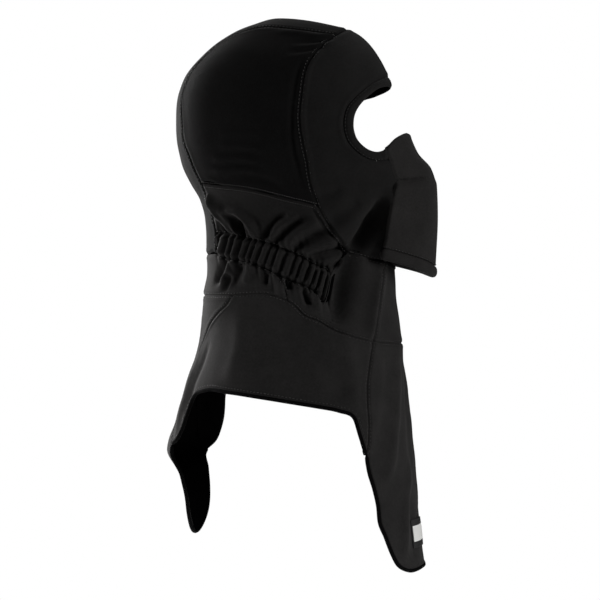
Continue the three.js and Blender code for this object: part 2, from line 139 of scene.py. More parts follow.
# ---- seams: [angle, height] ----
FRONT_END = [[-53, 72], [-30, 80], [0, 83.5]]
CROWN_SEAM_TOP = [[-53, 72], [-68, 74], [-88, 76.5], [-126, 78], [-150, 70], [-158, 50]]
CROWN_SEAM_BACK = [[-158, 50], [-160, 15], [-158, -5], [-157, -23], [-153, -44], [-152, -62]]
CROWN_SEAM_NAPE = [[-152, -62], [-154, -77], [-153, -93], [-150, -106]]
CROWN_SEAM_END = [-150, -126]
HOOD_FRONT_UPPER = [
    [-53, 72], [-70.5, 58], [-80, 41], [-84, 18], [-86, -9], [-85.5, -25], [-84.5, -42], [-83.5, -61],
    [-80, -84],
]
HOOD_FRONT_LOWER = [[-80, -84], [-74, -102], [-65, -118], [-58, -127]]
COVERSTITCH_SEAM = [[-80, -84], [-88, -80], [-98, -76], [-116, -69], [-132, -65.5], [-152, -62]]
CASING_TOP = [
    [-68.5, -143], [-73, -138.5], [-81, -134.5], [-87.5, -128], [-95, -123], [-106, -117],
    [-122, -111.5], [-133, -108], [-150, -106],
]
CASING_BOTTOM = [
    [-73, -167], [-80, -159], [-85, -154.5], [-99, -146.5], [-107.5, -140], [-117, -135],
    [-129, -131.5], [-139, -130], [-150, -126],
]
CASING_FRONT_SEAM = [[-68.5, -143], [-63.5, -136], [-58, -127]]
EYE_EDGE = [
    [0, 29.5], [-17, 28.5], [-32, 24.5], [-43, 17], [-49, 11], [-56, 0], [-58.5, -8], [-59.5, -16],
    [-59, -23.5], [-56, -31], [-51.5, -34.5], [-46, -33], [-42, -29],
]
EYE_STITCH = [
    [0, 39], [-18, 36.5], [-33, 31], [-45.5, 22.5], [-55, 12.5], [-61, 3.5], [-64, -6.5], [-65, -16],
    [-64.5, -25.5], [-62, -34], [-58.5, -40.5], [-53.5, -43], [-47, -42],
]
NOSE_EDGE = [[-42, -29], [-33, -21], [-23, -16], [-11, -13], [0, -12.5]]
NOSE_SIDE = [[-42, -29], [-46.5, -40], [-47.3, -50], [-46, -60]]
CREASE = [[-46, -60], [-38, -59], [-25, -56], [0, -53.5]]
FLAP_SIDE = [[-46, -60], [-47.5, -69], [-49.5, -85], [-51, -99], [-52, -113], [-53, -120]]
FLAP_BOTTOM = [[-53, -120], [-35, -127], [-10, -134.5], [0, -135.5]]
MOUTH_SIDE = [[-45, -50], [-42, -62], [-34, -72], [-30, -92], [-29, -113], [-31, -133]]
CHIN_SEAM = [[-58, -127], [-44, -130], [-31, -133]]
CHIN_EDGE = [[-31, -133], [-16, -136], [0, -138]]
NECK_FRONT_SEAM = [[-31, -133], [-37.5, -167], [-42.5, -205]]
NAPE_SEAM = [[-99, -146.5], [-96.5, -158], [-94, -168]]
YOKE_BACK = [
    [-94, -168], [-99, -165], [-105, -162.5], [-115, -162], [-131, -163], [-150, -163], [-180, -163],
]
YOKE_SIDE = [
    [-94, -168], [-90, -172], [-84, -181], [-76, -186], [-70, -191], [-65, -195], [-60, -198],
    [-51, -202], [-42.5, -205],
]
YOKE_FRONT = [[-42.5, -205], [-20, -206.5], [0, -207]]
BACK_NOTCH = [-149.5, -300]
FRONT_NOTCH = [-40, -304]
BIB_FRONT_SEAM = [[-42.5, -205], [-43, -238], [-41, -260], [-38.5, -280], [-38.5, -292], FRONT_NOTCH]
BIB_BACK_SEAM = [
    [-131, -163], [-136, -172], [-142, -178], [-155, -195], [-162, -212], [-163, -238], [-163, -265],
    [-159, -281], [-153, -293], BACK_NOTCH,
]
ARCH_EDGE = [
    BACK_NOTCH, [-143.5, -291], [-143, -274], [-143, -258], [-133, -248.5], [-115, -249.5], [-97, -253],
    [-83, -256.5], [-67, -261], [-57, -264.5], [-48, -271], [-44, -285], FRONT_NOTCH,
]
FRONT_TAIL_EDGE = [
    FRONT_NOTCH, [-38.8, -320], [-36.5, -335], [-35, -349], [-35, -363], [-32, -377], [-29, -392],
    [-26, -402], [-18, -409], [0, -409.5],
]
BACK_TAIL_EDGE = [
    BACK_NOTCH, [-152, -320], [-158, -345], [-164, -365], [-171, -380], [-180, -386],
]

# ---- folds: (width, height, line); a height below zero is a valley ----
FOLDS = [
    # drag lines low on the side of the hood
    (3.2, 2.3, [[-128, -31], [-116, -31], [-105, -33]]),
    (2.6, -1.6, [[-131, -36.5], [-118, -36], [-106, -39]]),
    (3.0, 2.4, [[-134, -42], [-117, -42], [-106, -45]]),
    (2.6, -1.7, [[-135, -47], [-118, -46.5], [-106, -49.5]]),
    (3.0, 2.4, [[-137, -52], [-118, -51], [-106, -53]]),
    (3.5, -2.4, [[-142, -61], [-117, -58], [-107, -60], [-94, -70]]),
    (4, 1.4, [[-128, -20], [-116, -20], [-104, -22]]),
    # twist at the top corner of the hood side
    (2.4, -2.2, [[-58, 68.5], [-70, 64.5], [-86, 62]]),
    (2.4, 2.0, [[-57, 71], [-69, 69.5], [-84, 72], [-100, 73]]),
    (2.4, 1.8, [[-60, 65], [-72, 60], [-88, 58]]),
    (2.6, -2.0, [[-64, 60], [-76, 56], [-90, 53]]),
    (2.8, 1.6, [[-70, 55], [-80, 51], [-92, 48]]),
    # the hood side dips before the seam in front of it, and the seam stands up
    (3.6, -2.6, [[-82, 46], [-86.5, 30], [-89.5, 0], [-90, -26], [-88, -52], [-85, -74]]),
    (1.8, 1.3, [
        [-60, 66], [-69, 58], [-78.5, 41], [-82.5, 18], [-84.5, -9], [-84, -25], [-82.5, -61], [-79, -84],
    ]),
    (1.8, 1.2, [[-79, -84], [-72.5, -102], [-64, -118], [-58, -125]]),
    (2.6, -2.0, [[-83, -84], [-77, -101], [-68, -117], [-60, -128]]),
    # folds that run down into the gathers
    (4, 7.6, [[-153, -72], [-146, -88], [-133, -107]]),
    (3.5, 5.9, [[-146, -80], [-135, -94], [-126, -111]]),
    (3.5, 7.9, [[-138, -87], [-127, -89], [-120, -98], [-114, -113]]),
    (2.6, -6.4, [[-145, -94], [-137, -108]]),
    (2.8, -7.1, [[-128, -95], [-124, -111]]),
    (3.1, -7.1, [[-94, -92], [-105, -100], [-110, -114]]),
    (2.8, 4.7, [[-88, -91], [-100, -101], [-107, -116]]),
    (3.1, -6.7, [[-86, -96], [-96, -106], [-104, -118]]),
    (4, 5.9, [[-79, -98], [-89, -107], [-97, -122]]),
    (3.3, -6.4, [[-75, -106], [-85, -114], [-92, -123]]),
    (4, 5, [[-68, -114], [-78, -118], [-87, -125]]),
    (3.7, -8.8, [[-59, -122], [-72, -125], [-84, -129]]),
    (3, 4.7, [[-60, -128], [-75, -131]]),
    (3, -6.7, [[-62, -133], [-72, -137], [-79, -138]]),
    # puckers under the gathers
    (3.5, -7.1, [[-139, -131], [-150, -151]]),
    (3, 4.7, [[-135, -132], [-144, -153]]),
    (2.8, -5.4, [[-137, -143], [-139, -159]]),
    (3.7, -6.7, [[-125, -132], [-129, -142], [-133, -155]]),
    (3.5, 5, [[-119, -135], [-123, -153]]),
    (3, -4.7, [[-108, -141], [-109, -154]]),
    (2.6, -4.7, [[-95, -149], [-94, -158]]),
    (3, -5.4, [[-86, -157], [-82, -172]]),
    (4, 3.7, [[-99, -150], [-99, -163]]),
    (3.5, 3.7, [[-79, -161], [-76, -176]]),
    # the hollow behind the mask, which runs on down the side of the neck
    (6.5, -12, [[-48.5, -76], [-50.5, -92], [-54, -112], [-57, -125]]),
    (8, -7, [[-51, -88], [-55, -108], [-60, -126]]),
    (13, -12, [[-58, -122], [-63, -142], [-67, -165], [-67, -188]]),
    (7, 6.5, [[-44, -68], [-44.5, -82], [-43.5, -96], [-40, -113], [-33, -128], [-31, -140]]),
    (7, 5, [[-33, -136], [-36, -156], [-41, -178], [-44, -204]]),
    (7, 2.4, [[-60, -88], [-68, -102], [-72, -112]]),
    (4, -2.6, [[-82, -78], [-76, -74], [-70, -71]]),
    (8, -3.2, [[-76, -100], [-68, -92], [-61, -80]]),
    # long soft folds of the bib
    (14, -3.2, [[-88, -196], [-75, -213], [-62, -232], [-53, -250]]),
    (9, 2.6, [[-66, -200], [-57, -217], [-52, -238], [-49, -262]]),
    (5, 2.6, [[-160, -212], [-156, -240], [-152, -272], [-147, -292]]),
    (4.5, -2.2, [[-150, -205], [-148, -240], [-146, -274]]),
    (8, 1.4, [[-124, -176], [-121, -212], [-118, -244]]),
    (10, -1.2, [[-110, -168], [-104, -203], [-99, -246]]),
    (5.5, 3.4, [[-17, -209], [-17, -257], [-20, -292], [-24, -314], [-30, -330]]),
    (8, -2.4, [[-29, -212], [-27, -257], [-30, -291], [-34, -308]]),
    (6, 3.4, [[-2, -316], [-12, -347], [-17, -373], [-21, -402]]),
    (9, -2.6, [[4, -210], [3, -270], [2, -330]]),
    (8, 2.2, [[12, -225], [14, -290], [14, -360]]),
    (7, -2.0, [[-8, -335], [-8, -370], [-10, -400]]),
    (6, 1.8, [[-172, -180], [-176, -230], [-174, -280]]),
    (7, 2.4, [[-170, -300], [-172, -340], [-176, -375]]),
]
# Folds of the mask, on its own surface.
MASK_FOLDS = [
    (1.6, -2.6, [[-47, -60], [-38, -59], [-24, -55.5]]),
    (4, 1.6, [[-47, -66], [-36, -64.5], [-20, -61]]),
    (9, 1.2, [[-26, -20], [-22, -40], [-16, -54]]),
    (12, -1.5, [[-38, -75], [-36, -95], [-34, -115]]),
]

# ---- the body surface ----
def level(z):
    """Heights read on a scale that is even over the round of the crown."""
    return np.sqrt(np.maximum(0, 1 - np.asarray(z, float) / CROWN))


def height(q):
    """The height that a level stands for."""
    return CROWN * (1 - np.asarray(q) ** 2)


def smooth_table(rows):
    """A function of height through the rows of a profile, without overshoot."""
    x = level([row[0] for row in rows])
    y = np.array([row[1] for row in rows], float)
    step = np.diff(x)
    rise = np.diff(y) / step
    slope = np.zeros_like(y)
    slope[0], slope[-1] = rise[0], rise[-1]
    for k in range(1, len(y) - 1):
        before, after = rise[k - 1], rise[k]
        if before * after > 0:
            w1, w2 = 2 * step[k] + step[k - 1], step[k] + 2 * step[k - 1]
            slope[k] = (w1 + w2) / (w1 / before + w2 / after)

    def value(z):
        at = np.clip(level(z), x[0], x[-1])
        i = np.clip(np.searchsorted(x, at, side="right") - 1, 0, len(step) - 1)
        t = (at - x[i]) / step[i]
        t2, t3 = t * t, t * t * t
        start = (2 * t3 - 3 * t2 + 1) * y[i] + (t3 - 2 * t2 + t) * step[i] * slope[i]
        return start + (3 * t2 - 2 * t3) * y[i + 1] + (t3 - t2) * step[i] * slope[i + 1]

    return value


face_front, mask_front = smooth_table(FACE_FRONT), smooth_table(MASK_FRONT)
back, half_width = smooth_table(BACK), smooth_table(HALF_WIDTH)
middle, turn = smooth_table(MIDDLE), smooth_table(TURN)


def body_point(angle, q, front):
    """Point on the body at an angle in radians and a level. Front is the profile down the face."""
    z = height(q)
    centre = middle(z)
    forward = np.cos(angle)
    dx = np.where(forward >= 0, front(z) - centre, centre - back(z)) * forward
    dy = half_width(z) * np.sin(angle)
    yaw = np.radians(turn(z))
    x = centre + dx * np.cos(yaw) - dy * np.sin(yaw)
    y = dx * np.sin(yaw) + dy * np.cos(yaw)
    return np.stack([x, y, z], -1)


class Wrap:
    """Flattens the body as angle against level."""

    @staticmethod
    def flatten(path):
        path = np.asarray(path, float)
        return np.stack([np.radians(path[:, 0]), level(path[:, 1])], -1)

    @staticmethod
    def angle_and_level(p):
        return p[..., 0], p[..., 1]


class Plan:
    """Flattens the body as seen looking down on the crown."""

    @staticmethod
    def flatten(path):
        path = np.asarray(path, float)
        angle, q = np.radians(path[:, 0]), level(path[:, 1])
        return np.stack([q * np.cos(angle), q * np.sin(angle)], -1)

    @staticmethod
    def angle_and_level(p):
        return np.arctan2(p[..., 1], p[..., 0]), np.hypot(p[..., 0], p[..., 1])


def on_body(chart, p, front):
    """Points on the body at flattened points."""
    angle, q = chart.angle_and_level(p)
    return body_point(angle, q, front)


def outward(chart, p, front):
    """Outward direction of the body at flattened points."""
    step = 1e-4
    right = on_body(chart, p + [step, 0], front) - on_body(chart, p - [step, 0], front)
    down = on_body(chart, p + [0, step], front) - on_body(chart, p - [0, step], front)
    normal = np.cross(right, down)
    normal /= np.linalg.norm(normal, axis=-1, keepdims=True)
    point = on_body(chart, p, front)
    axis = np.zeros_like(point)
    axis[..., 0] = middle(point[..., 2])
    axis[..., 2] = np.minimum(point[..., 2], 0)
    facing = np.sign(np.sum(normal * (point - axis), -1, keepdims=True))
    return normal * facing


def root_distance(a, b):
    """Square root of the distance between points, never zero: the spacing of a centripetal curve."""
    return np.maximum(np.linalg.norm(b - a, axis=-1, keepdims=True) ** 0.5, 1e-6)


def curve(points, t):
    """Centripetal Catmull-Rom curve through flattened points, at t from 0 to 1."""
    points = np.asarray(points, float)
    ends = np.vstack([2 * points[0] - points[1], points, 2 * points[-1] - points[-2]])
    spans = len(points) - 1
    at = np.clip(np.asarray(t, float), 0, 1) * spans
    i = np.minimum(at.astype(int), spans - 1)
    w = (at - i)[..., None]
    p0, p1, p2, p3 = ends[i], ends[i + 1], ends[i + 2], ends[i + 3]
    d0, d1, d2 = root_distance(p0, p1), root_distance(p1, p2), root_distance(p2, p3)
    m1 = ((p1 - p0) / d0 - (p2 - p0) / (d0 + d1) + (p2 - p1) / d1) * d1
    m2 = ((p2 - p1) / d1 - (p3 - p1) / (d1 + d2) + (p3 - p2) / d2) * d1
    a, b = 2 * p1 - 2 * p2 + m1 + m2, -3 * p1 + 3 * p2 - 2 * m1 - m2
    return ((a * w + b) * w + m1) * w + p1


def right_of(path):
    """A path of the right side, as it is drawn."""
    return [list(p) for p in path]


def settled(angle, z):
    """Where a point of the right side lies on the left, which hangs a little differently.

    The upper edge of the eye opening has ridden up, and the corner of the back tail has dropped.
    """
    eye = math.exp(-(((angle + 45) / 14) ** 2) - ((z - 17) / 12) ** 2)
    notch = math.exp(-(((angle + 149) / 16) ** 2) - ((z + 300) / 16) ** 2)
    tail = math.exp(-(((angle + 153) / 10) ** 2) - ((z + 330) / 24) ** 2)
    return angle - 2.5 * eye - 6 * tail, z + 6 * eye - 12 * notch


def left_of(path):
    """The same path on the left side, past the front."""
    return [[-angle, z] for angle, z in (settled(*point) for point in path)]


def back_flip(path):
    """The same path on the left side, past the back."""
    return [[-360 - angle, z] for angle, z in (settled(*point) for point in path)]


def across_front(path):
    """A path from the right side to the front's middle, carried on to the left side."""
    return list(path) + left_of(path[:-1])[::-1]


def across_back(path):
    """A path from the right side to the back's middle, carried on to the left side."""
    return list(path) + back_flip(path[:-1])[::-1]


def finer(path, parts=6):
    """The same path as the plan draws it, with more points, for a panel blended on the other chart."""
    t = np.linspace(0, 1, (len(path) - 1) * parts + 1)
    angle, q = Plan.angle_and_level(curve(Plan.flatten(path), t))
    return np.stack([np.degrees(angle), height(q)], -1)


# ---- relief: gathers and folds ----
def table_of(path):
    """Angles and heights of a path, in order of angle."""
    rows = sorted(path)
    return np.array([r[0] for r in rows]), np.array([r[1] for r in rows])


def distance_along(points):
    """How far along a line of points each of them is."""
    return np.concatenate([[0], np.cumsum(np.linalg.norm(np.diff(points, axis=0), axis=1))])


casing_top, casing_bottom = table_of(CASING_TOP), table_of(CASING_BOTTOM)
casing_angle = np.linspace(-152, -66, 87)
casing_middle = 0.5 * (np.interp(casing_angle, *casing_top) + np.interp(casing_angle, *casing_bottom))
casing_run = distance_along(body_point(np.radians(casing_angle), level(casing_middle), face_front))


def smoothstep(low, high, x):
    """0 below low and 1 above high, with a smooth rise between them."""
    t = np.clip((x - low) / (high - low), 0, 1)
    return t * t * (3 - 2 * t)


def gathers(angle, z):
    """Pleats of the elasticated casing, and the puckers that spread from it. Angle in degrees, right side."""
    top, bottom = np.interp(angle, *casing_top), np.interp(angle, *casing_bottom)
    depth = (top - z) / (top - bottom)
    along = np.interp(angle, casing_angle, casing_run)
    above = np.maximum(0, -depth) * (top - bottom)
    below = np.maximum(0, depth - 1) * (top - bottom)
    inside = np.clip(depth, 0, 1)
    # The pleats lean, spread out above and below the casing, and aren't quite evenly spaced.
    run = along + PLEAT_LEAN * (inside - 0.5) + 0.35 * above - 0.3 * below
    run = run + 1.3 * np.sin(0.11 * run + 1.3) + 0.8 * np.sin(0.29 * run + 0.4)
    phase = run / PLEAT_PITCH
    roll = 1 - np.abs(2 * (phase - np.floor(phase)) - 1) ** 2.4
    uneven = 0.82 + 0.18 * np.sin(2.1 * np.floor(phase) + 0.7)
    # They are tallest in the middle of the casing and die away outside it, past its two sewn lines.
    pinch = smoothstep(0, 0.2, inside) * smoothstep(0, 0.2, 1 - inside)
    strength = PLEAT_HEIGHT * uneven * np.where(
        above + below > 0, 0.68 * np.exp(-above / 10 - below / 8), 0.62 + 0.38 * pinch
    )
    line = np.exp(-((above + below) / 2.2) ** 2) * (1 - 0.75 * pinch)
    ends = smoothstep(-153, -145, angle) * (1 - smoothstep(-71, -66, angle))
    near = np.exp(-((above + below) / 26) ** 2)
    return ends * near * (strength * (roll - 0.62) - 1.6 * line + 1.4 * pinch)


def fold_lines(folds, front):
    """Each fold's width, height and line of points on the body."""
    lines = []
    for width, tall, path in folds:
        flat = curve(Wrap.flatten(path), np.linspace(0, 1, 28))
        lines.append((width, tall, body_point(flat[:, 0], flat[:, 1], front)))
    return lines


BODY_FOLDS = fold_lines(FOLDS, face_front)
FLAP_FOLDS = fold_lines(MASK_FOLDS, mask_front)


def fold_relief(lines, points):
    """Sum of the folds at points of the undisturbed surface. Each fold fades towards its ends."""
    flat = points.reshape(-1, 3)
    total = np.zeros(len(flat))
    for width, tall, line in lines:
        low, high = line.min(0) - 3 * width, line.max(0) + 3 * width
        near = np.all((flat > low) & (flat < high), axis=1)
        if not near.any():
            continue
        away = np.linalg.norm(flat[near, None, :] - line[None], axis=-1)
        nearest = away.argmin(1)
        t = nearest / (len(line) - 1)
        fade = 1 - np.abs(2 * t - 1) ** 4
        total[near] += tall * np.exp(-((away.min(1) / width) ** 2)) * (0.15 + 0.85 * fade)
    return total.reshape(points.shape[:-1])


def relief(angle, q):
    """Height of folds and gathers over the body, in mm, the same on both sides."""
    degrees = (np.degrees(angle) + 180) % 360 - 180
    degrees = np.where(np.abs(degrees) > 30, -np.abs(degrees), degrees)
    points = body_point(np.radians(degrees), q, face_front)
    z = height(q)
    slack = 0.35 * np.sin(0.071 * points[..., 0] + 0.11 * z) * np.sin(0.09 * z + 0.6)
    return fold_relief(BODY_FOLDS, points) + gathers(degrees, z) + slack


def mask_relief(angle, q):
    """Height of the mask's folds over its own surface, in mm, the same on both sides."""
    points = body_point(-np.abs(angle), q, mask_front)
    return fold_relief(FLAP_FOLDS, points)


def skin(chart, flat, front, height_map):
    """Point and outward direction of the cloth's outer face, folds included."""
    normal = outward(chart, flat, front)
    angle, q = chart.angle_and_level(flat)
    return on_body(chart, flat, front) + normal * height_map(angle, q)[..., None], normal


# ---- materials ----
def node_tree(name):
    """A new material with its nodes, its links and its shader."""
    material = bpy.data.materials.new(name)
    material.use_nodes = True
    tree = material.node_tree
    return material, tree.nodes, tree.links, tree.nodes["Principled BSDF"]


def add_noise(nodes, links, place, scale, detail=2.0, roughness=0.5):
    """Noise fixed to the piece, at a scale in waves per metre."""
    noise = nodes.new("ShaderNodeTexNoise")
    noise.inputs["Scale"].default_value = scale
    noise.inputs["Detail"].default_value = detail
    noise.inputs["Roughness"].default_value = roughness
    links.new(place.outputs["Object"], noise.inputs["Vector"])
    return noise.outputs["Fac"]


def add_rows(nodes, links, place, direction, pitch):
    """Soft parallel rows at a pitch in mm, across the cloth (X) or down it (Y)."""
    wave = nodes.new("ShaderNodeTexWave")
    wave.bands_direction = direction
    wave.inputs["Scale"].default_value = math.pi / 10 / (pitch * UV_PER_MM)
    wave.inputs["Distortion"].default_value = 0.6
    wave.inputs["Detail"].default_value = 1
    links.new(place.outputs["UV"], wave.inputs["Vector"])
    return wave.outputs["Fac"]


def add_bump(nodes, links, height_socket, strength, distance):
    """Bump from a socket's heights, at a distance in metres."""
    bump = nodes.new("ShaderNodeBump")
    bump.inputs["Strength"].default_value = strength
    bump.inputs["Distance"].default_value = distance
    links.new(height_socket, bump.inputs["Height"])
    return bump


def add_maths(nodes, links, operation, *sockets):
    """The result of an operation on sockets and plain numbers."""
    maths = nodes.new("ShaderNodeMath")
    maths.operation = operation
    for k, value in enumerate(sockets):
        if isinstance(value, float):
            maths.inputs[k].default_value = value
        else:
            links.new(value, maths.inputs[k])
    return maths.outputs[0]


def fabric(name, colour, wale=1.1, course=0.9, knit=0.22, fuzz=0.25, sheen=0.22, roughness=0.86,
           specular=0.16):
    """Knitted jersey: rows of loops in UV millimetres, fibre fuzz, and slow changes of colour and gloss."""
    material, nodes, links, shader = node_tree(name)
    place = nodes.new("ShaderNodeTexCoord")
    wales = add_rows(nodes, links, place, "X", wale)
    courses = add_rows(nodes, links, place, "Y", course)
    loops = add_maths(nodes, links, "MULTIPLY", wales, courses)
    knit_bump = add_bump(nodes, links, loops, knit, 0.0004)
    fuzz_bump = add_bump(nodes, links, add_noise(nodes, links, place, 1400, 4), fuzz, 0.0005)
    links.new(knit_bump.outputs["Normal"], fuzz_bump.inputs["Normal"])
    links.new(fuzz_bump.outputs["Normal"], shader.inputs["Normal"])

    cloud = add_noise(nodes, links, place, 26, 5, 0.65)
    speck = add_noise(nodes, links, place, 520, 3)
    ramp = nodes.new("ShaderNodeValToRGB")
    dark, light = ramp.color_ramp.elements
    dark.position, light.position = 0.45, 1.05
    dark.color = (*[c * 0.72 for c in colour], 1)
    light.color = (*[min(1, c * 1.45) for c in colour], 1)
    links.new(add_maths(nodes, links, "MULTIPLY_ADD", speck, 0.55, cloud), ramp.inputs["Fac"])
    links.new(ramp.outputs["Color"], shader.inputs["Base Color"])

    gloss = nodes.new("ShaderNodeMapRange")
    gloss.inputs["To Min"].default_value = roughness - 0.06
    gloss.inputs["To Max"].default_value = min(1, roughness + 0.08)
    links.new(cloud, gloss.inputs["Value"])
    links.new(gloss.outputs["Result"], shader.inputs["Roughness"])
    shader.inputs["Specular IOR Level"].default_value = specular
    shader.inputs["Sheen Weight"].default_value = sheen
    shader.inputs["Sheen Roughness"].default_value = 0.45
    shader.inputs["Sheen Tint"].default_value = (1.0, 0.97, 0.95, 1)
    return material


# The hood's near-black tone is partly its own dye and partly painted shade: it is set darker so the hood
# stays dark under the side lamps.
HOOD = fabric(
    "hood_jersey_dye_and_shade", (0.0036, 0.0035, 0.0035), wale=1.6, course=1.1, knit=0.3, sheen=0.02, specular=0.06,
)
FACE = fabric("face_jersey", (0.0085, 0.0082, 0.0081), sheen=0.03, specular=0.08)
MASK = fabric(
    "mask_knit", (0.0140, 0.0133, 0.0130), wale=1.3, course=1.3, knit=0.35, sheen=0.04, specular=0.08,
)
BIB = fabric("bib_jersey", (0.0155, 0.0148, 0.0146), sheen=0.04, specular=0.08)
# The nape panels and casings take the bib's jersey darkened by about a third: painted shade for the dim side
# of the nape.
NAPE = fabric("nape_jersey_painted_shade", (0.0105, 0.0100, 0.0098), sheen=0.04, specular=0.08)
BINDING = fabric(
    "binding_tape", (0.0016, 0.0016, 0.0016), wale=0.8, course=2.2, knit=0.5, sheen=0.0, specular=0.04,
)
# The inner faces and seam allowances are darkened to near black over a brushed texture: painted shade for the
# inside of the garment.
INSIDE_SHADE = fabric(
    "brushed_inside_painted_shade", (0.0014, 0.0014, 0.0014), fuzz=0.6, sheen=0.0, roughness=0.95, specular=0.0,
)
ELASTIC = fabric(
    "woven_elastic", (0.008, 0.008, 0.009), wale=1.4, course=4.0, knit=0.7, sheen=0.05, roughness=0.6,
)
PALE_THREAD = fabric(
    "coverstitch_thread", (0.034, 0.033, 0.032), wale=0.4, course=0.4, knit=0.5, roughness=0.55,
)
THREAD = fabric(
    "sewing_thread", (0.0075, 0.0073, 0.0071), wale=0.4, course=0.4, knit=0.5, roughness=0.55, specular=0.3,
)

# ---- mesh builders ----
def add_object(name, vertices, faces, materials, uvs):
    """A smooth mesh from vertices in mm, with a UV for each vertex."""
    mesh = bpy.data.meshes.new(name)
    mesh.from_pydata([tuple(v) for v in np.asarray(vertices) * MILLIMETRE], [], faces)
    layer = mesh.uv_layers.new(name="cloth")
    corner = np.array([loop.vertex_index for loop in mesh.loops])
    layer.data.foreach_set("uv", np.asarray(uvs, np.float32)[corner].ravel())
    mesh.polygons.foreach_set("use_smooth", [True] * len(mesh.polygons))
    for material in materials:
        mesh.materials.append(material)
    mesh.update()
    piece = bpy.data.objects.new(name, mesh)
    bpy.context.collection.objects.link(piece)
    return piece


def stations(length, step):
    """Grid lines along a length in mm: close together at both edges, where the seams roll over."""
    margin = EDGE_LINES[-1]
    if length < 4 * margin:
        return np.linspace(0, 1, max(5, int(length / 1.2)) + 1)
    count = max(2, int(round((length - 2 * margin) / step)))
    inner = np.linspace(margin, length - margin, count + 1)
    edge = np.array(EDGE_LINES[:-1])
    return np.concatenate([edge, inner, (length - edge)[::-1]]) / length


def seam_roll(distance, kind):
    """How cloth drops and puffs by an edge: kind is seam, fold (a rolled free edge) or bound."""
    if kind == "seam":
        puff = SEAM_PUFF * np.exp(-(((distance - 3.6) / 2.0) ** 2))
        dip = STITCH_DIP * np.exp(-(((distance - STITCH_INSET) / 0.45) ** 2))
        return puff - dip - SEAM_DEPTH * np.exp(-((distance / 0.8) ** 2))
    if kind == "fold":
        return 0.5 * np.exp(-(((distance - 3) / 2.5) ** 2)) - 1.6 * np.exp(-((distance / 1.3) ** 2))
    return np.zeros_like(distance)


def grid_mesh(name, points, uvs, materials):
    """A mesh of four-sided faces between the points of a grid."""
    rows, columns = points.shape[:2]
    ids = np.arange(rows * columns).reshape(rows, columns)
    quads = np.stack([ids[:-1, :-1], ids[1:, :-1], ids[1:, 1:], ids[:-1, 1:]], -1).reshape(-1, 4)
    return add_object(name, points.reshape(-1, 3), quads.tolist(), materials, uvs.reshape(-1, 2))


class Patch:
    """A cloth panel between a top and a bottom edge, with optional shaped start and end edges.

    A fade above 1 keeps the shape of the start and end edges nearer to them.
    """

    def __init__(self, top, bottom, start=None, end=None, chart=Wrap, front=face_front, heights=relief,
                 fade=1.0):
        self.chart, self.front, self.heights = chart, front, heights
        self.fade = fade
        self.edges = [
            chart.flatten(top),
            chart.flatten(bottom),
            chart.flatten([top[0], bottom[0]] if start is None else start),
            chart.flatten([top[-1], bottom[-1]] if end is None else end),
        ]

    def flat(self, t, s):
        """Flattened point at t along the panel and s down it, by a Coons blend of the four edges."""
        top, bottom, start, end = self.edges
        t, s = np.broadcast_arrays(np.asarray(t, float), np.asarray(s, float))
        off_centre = 2 * t[..., None] - 1
        u, v = 0.5 + 0.5 * np.sign(off_centre) * np.abs(off_centre) ** self.fade, s[..., None]
        ruled = (1 - v) * curve(top, t) + v * curve(bottom, t)
        sides = (1 - u) * curve(start, s) + u * curve(end, s)
        corners = (1 - u) * (1 - v) * top[0] + u * (1 - v) * top[-1]
        corners = corners + (1 - u) * v * bottom[0] + u * v * bottom[-1]
        return ruled + sides - corners

    def length(self, along):
        """Greatest length of the panel in mm, along it or down it."""
        fine, few = np.linspace(0, 1, 40), np.array([0.0, 0.25, 0.5, 0.75, 1.0])
        t, s = (fine[:, None], few[None]) if along else (few[None], fine[:, None])
        steps = np.diff(on_body(self.chart, self.flat(t, s), self.front), axis=0)
        return float(np.linalg.norm(steps, axis=-1).sum(0).max())

    def area(self):
        """Area of the panel in square mm, without folds."""
        t = np.linspace(0, 1, 40)
        points = on_body(self.chart, self.flat(t[:, None], t[None]), self.front)
        across, down = np.diff(points, axis=0)[:, :-1], np.diff(points, axis=1)[:-1]
        return float(np.linalg.norm(np.cross(across, down), axis=-1).sum())

    def grid(self, step, down_step, proud, edges):
        """Points of the cloth's outer face, with UVs; edges gives the kind of the four edges in turn."""
        t = stations(self.length(True), step)
        s = stations(self.length(False), down_step)
        flat = self.flat(t[:, None], s[None])
        base = on_body(self.chart, flat, self.front)
        along = np.zeros(flat.shape[:2])
        down = np.zeros(flat.shape[:2])
        along[1:] = np.cumsum(np.linalg.norm(np.diff(base, axis=0), axis=-1), axis=0)
        down[:, 1:] = np.cumsum(np.linalg.norm(np.diff(base, axis=1), axis=-1), axis=1)
        gaps = [down, down[:, -1:] - down, along, along[-1:] - along]
        roll = sum(seam_roll(gap, kind) for gap, kind in zip(gaps, edges))
        roll = np.maximum(roll, -DEEPEST_FOLD if "fold" in edges else -DEEPEST_SEAM)
        normal = outward(self.chart, flat, self.front)
        angle, q = self.chart.angle_and_level(flat)
        lift = self.heights(angle, q) + roll + (proud(s)[None] if callable(proud) else proud)
        points = base + normal * lift[..., None]
        if np.sum(np.cross(base[1, 0] - base[0, 0], base[1, 1] - base[0, 0]) * normal[0, 0]) < 0:
            points, along, down = points[::-1], along[::-1], down[::-1]
        return points, np.stack([along, down], -1) * UV_PER_MM


